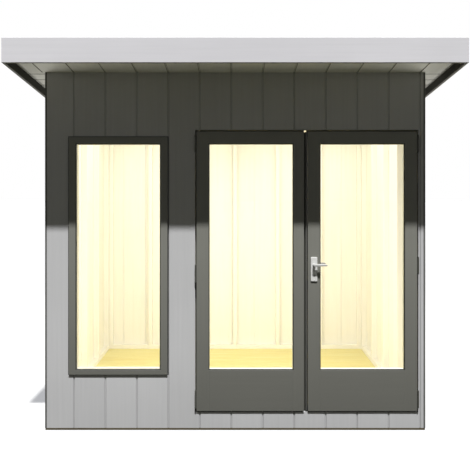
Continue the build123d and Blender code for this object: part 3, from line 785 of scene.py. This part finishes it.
head = bmesh.new()
bmesh.ops.create_cone(head, cap_ends=True, segments=16, radius1=HEAD_RADIUS,
                      radius2=HEAD_RADIUS * CONE, depth=HEAD_HEIGHT,
                      matrix=Matrix.Translation((0, 0, HEAD_HEIGHT / 2)))
for side in (-1, 1):
    everything = head.verts[:] + head.edges[:] + head.faces[:]
    bmesh.ops.bisect_plane(head, geom=everything, plane_co=(side * SLOT_WIDTH / 2, 0, 0),
                           plane_no=(1, 0, 0))
strips = [f for f in head.faces if f.normal.z > 0.9 and abs(f.calc_center_median().x) < 1e-5]
pressed = bmesh.ops.extrude_discrete_faces(head, faces=strips)["faces"]
bmesh.ops.translate(head, vec=(0, 0, -HEAD_HEIGHT / 2),
                    verts=list(dict.fromkeys(v for f in pressed for v in f.verts)))
head_data = bpy.data.meshes.new("screw_head")
head.to_mesh(head_data)
head.free()


def screw_heads(name, places, facing, material, body, slot):
    """Copies of the screw head, as one piece that rides on a body."""
    turn = Vector(facing).to_track_quat("Z", "Y").to_matrix().to_4x4()
    heads = bmesh.new()
    for number, place in enumerate(places):
        heads.from_mesh(head_data)
        heads.verts.ensure_lookup_table()
        added = heads.verts[-len(head_data.vertices):]
        spin = Matrix.Rotation(TURN_BETWEEN * number, 4, "Z")
        bmesh.ops.transform(heads, matrix=Matrix.Translation(place) @ turn @ spin, verts=added)
    finished_piece(name, heads, [material], body, slot)


LEVER_X = 500 * MM
PLATE_SCREW_LEVELS = (956 * MM, 1091 * MM)
LEVER_PLATE_FACES = {"outer": (-794 * MM, (0, -1, 0)), "inner": (-742 * MM, (0, 1, 0))}
for face, (depth, facing) in LEVER_PLATE_FACES.items():
    places = [(LEVER_X, depth, z) for z in PLATE_SCREW_LEVELS]
    screw_heads(f"{face}_plate_screws", places, facing, silver_coat, "right_door", "handle_steel")

HINGE_SCREWS = [(-778 * MM, -37 * MM), (-764 * MM, 0), (-778 * MM, 37 * MM)]
LEAF_PLATE = 3.5 * MM
FRAME_PLATE = 1.5 * MM
LOW_HINGE = 199 * MM
HIGH_HINGE = 1820 * MM
for hand, middle_hinge, axis_x, turn in (("left", 995 * MM, -251 * MM, 1),
                                         ("right", 1046 * MM, 1160 * MM, -1)):
    levels = (LOW_HINGE, middle_hinge, HIGH_HINGE)
    on_leaf = [(axis_x + turn * LEAF_PLATE, y, level + z) for level in levels
               for y, z in HINGE_SCREWS]
    on_frame = [(axis_x - turn * FRAME_PLATE, y, level + z) for level in levels
                for y, z in HINGE_SCREWS]
    screw_heads(f"{hand}_leaf_hinge_screws", on_leaf, (-turn, 0, 0), hinge_coat,
                f"{hand}_door", "hinge_steel")
    screw_heads(f"{hand}_frame_hinge_screws", on_frame, (turn, 0, 0), hinge_coat,
                "pod", "hinge_steel")

# %% [markdown]
# The pod stands on a plain pale floor. For the camera, and in glass and metal, the floor is a
# bright sheet that keeps the shadow, and for the camera a faint glow lifts that shadow to a pale
# blue grey. For light that bounces on to the pod it is a darker floor, so that the shade under
# the canopy stays as deep as in the photograph.

# %% Floor
FLOOR_SIZE = 60
SHADOW_GLOW = 0.34


def pale_floor():
    """A floor that is pale to the eye and throws back little light."""
    material, tree = new_material("pale_studio_floor")
    path = add(tree, "ShaderNodeLightPath").outputs
    mirrored = add(tree, "ShaderNodeMath", {"operation": "MAXIMUM"}, _0=path["Is Glossy Ray"],
                   _1=path["Is Transmission Ray"]).outputs[0]
    tone = add(tree, "ShaderNodeMix", {"data_type": "RGBA"}, _0=mirrored,
               _6=linear("#36362c"), _7=linear("#b4b4b4")).outputs[2]
    tone = add(tree, "ShaderNodeMix", {"data_type": "RGBA"}, _0=path["Is Camera Ray"],
               _6=tone, _7=linear("#989896")).outputs[2]
    glow = add(tree, "ShaderNodeMath", {"operation": "MULTIPLY"}, _0=path["Is Camera Ray"],
               _1=SHADOW_GLOW).outputs[0]
    lit = add(tree, "ShaderNodeBsdfDiffuse", Color=tone).outputs[0]
    pale = add(tree, "ShaderNodeEmission", Color=linear("#f4f6ff"), Strength=glow).outputs[0]
    both = add(tree, "ShaderNodeAddShader", _0=lit, _1=pale).outputs[0]
    add(tree, "ShaderNodeOutputMaterial", Surface=both)
    return material


floor_mesh = bmesh.new()
bmesh.ops.create_grid(floor_mesh, x_segments=1, y_segments=1, size=FLOOR_SIZE)
floor_data = bpy.data.meshes.new("studio_floor")
floor_mesh.to_mesh(floor_data)
floor_mesh.free()
floor_data.materials.append(pale_floor())
studio_floor = bpy.data.objects.new("studio_floor", floor_data)
bpy.context.scene.collection.objects.link(studio_floor)

# %% [markdown]
# The light is high and in front, a little to the right, so that the canopy shades the top of the
# wall. Its fall of 2.5 down for 1 back comes from the height of that shadow. Three soft lamps
# light the sides and the rear, which the first one never reaches, and none of them touches the
# front. Two low ones beside the pod, with a narrow spread, point up at the eaves. Inside, a pair
# of lamps under the rafters and a pair at the front wall fill the room. Places and sizes are in
# metres, and power is in watts.

# %% Lamps and surroundings
KEY_TRAVEL = (-0.055, 0.3987, -1.0)
KEY_LEVEL = 7.4
KEY_ANGLE = 1.2
AMBIENT = 0.13


def far_lamp(name, travel, level, spread):
    """A distant lamp that shines along travel."""
    data = bpy.data.lights.new(name, "SUN")
    data.energy = level
    data.angle = math.radians(spread)
    lamp = bpy.data.objects.new(name, data)
    lamp.rotation_mode = "QUATERNION"
    lamp.rotation_quaternion = Vector(travel).to_track_quat("-Z", "Y")
    bpy.context.scene.collection.objects.link(lamp)


def soft_box(name, place, facing, width, height, power, spread=180):
    """A wide soft lamp at a place, turned to face along a direction."""
    data = bpy.data.lights.new(name, "AREA")
    data.shape = "RECTANGLE"
    data.size, data.size_y, data.energy = width, height, power
    data.spread = math.radians(spread)
    lamp = bpy.data.objects.new(name, data)
    lamp.location = place
    lamp.rotation_mode = "QUATERNION"
    lamp.rotation_quaternion = Vector(facing).to_track_quat("-Z", "Y")
    lamp.visible_camera = lamp.visible_glossy = lamp.visible_transmission = False
    bpy.context.scene.collection.objects.link(lamp)


far_lamp("key_lamp", KEY_TRAVEL, KEY_LEVEL, KEY_ANGLE)
soft_box("rear_lamp", (0, 4.6, 1.4), (0, -1, 0), 3.0, 2.0, 120)
for side, turn in (("left", -1), ("right", 1)):
    soft_box(f"{side}_lamp", (4.2 * turn, 0.7, 1.1), (-turn, 0, 0.05), 2.4, 1.8, 90)
    soft_box(f"{side}_eaves_lamp", (1.9 * turn, 0.15, 0.4), (-0.2 * turn, -0.45, 1),
             0.6, 0.6, 1.45, spread=50)
    soft_box(f"{side}_ceiling_lamp", (0.7 * turn, 0.15, 2.05), (0, 0, -1), 0.8, 1.3, 6.2)
    soft_box(f"{side}_room_lamp", (0.5 * turn, -0.6, 0.85), (0, 1, -0.12), 0.9, 1.8, 11.5)

world = bpy.data.worlds.new("studio")
world.use_nodes = True
world.node_tree.nodes.clear()
path = add(world.node_tree, "ShaderNodeLightPath")
seen = add(world.node_tree, "ShaderNodeMath", {"operation": "MAXIMUM"},
           _0=path.outputs["Is Camera Ray"], _1=path.outputs["Is Glossy Ray"]).outputs[0]
seen = add(world.node_tree, "ShaderNodeMath", {"operation": "MAXIMUM"}, _0=seen,
           _1=path.outputs["Is Transmission Ray"]).outputs[0]
strength = add(world.node_tree, "ShaderNodeMapRange", Value=seen, To_Min=AMBIENT,
               To_Max=1.0).outputs[0]
sky = add(world.node_tree, "ShaderNodeBackground", Color=(1, 1, 1, 1), Strength=strength)
add(world.node_tree, "ShaderNodeOutputWorld", Surface=sky.outputs[0])
bpy.context.scene.world = world
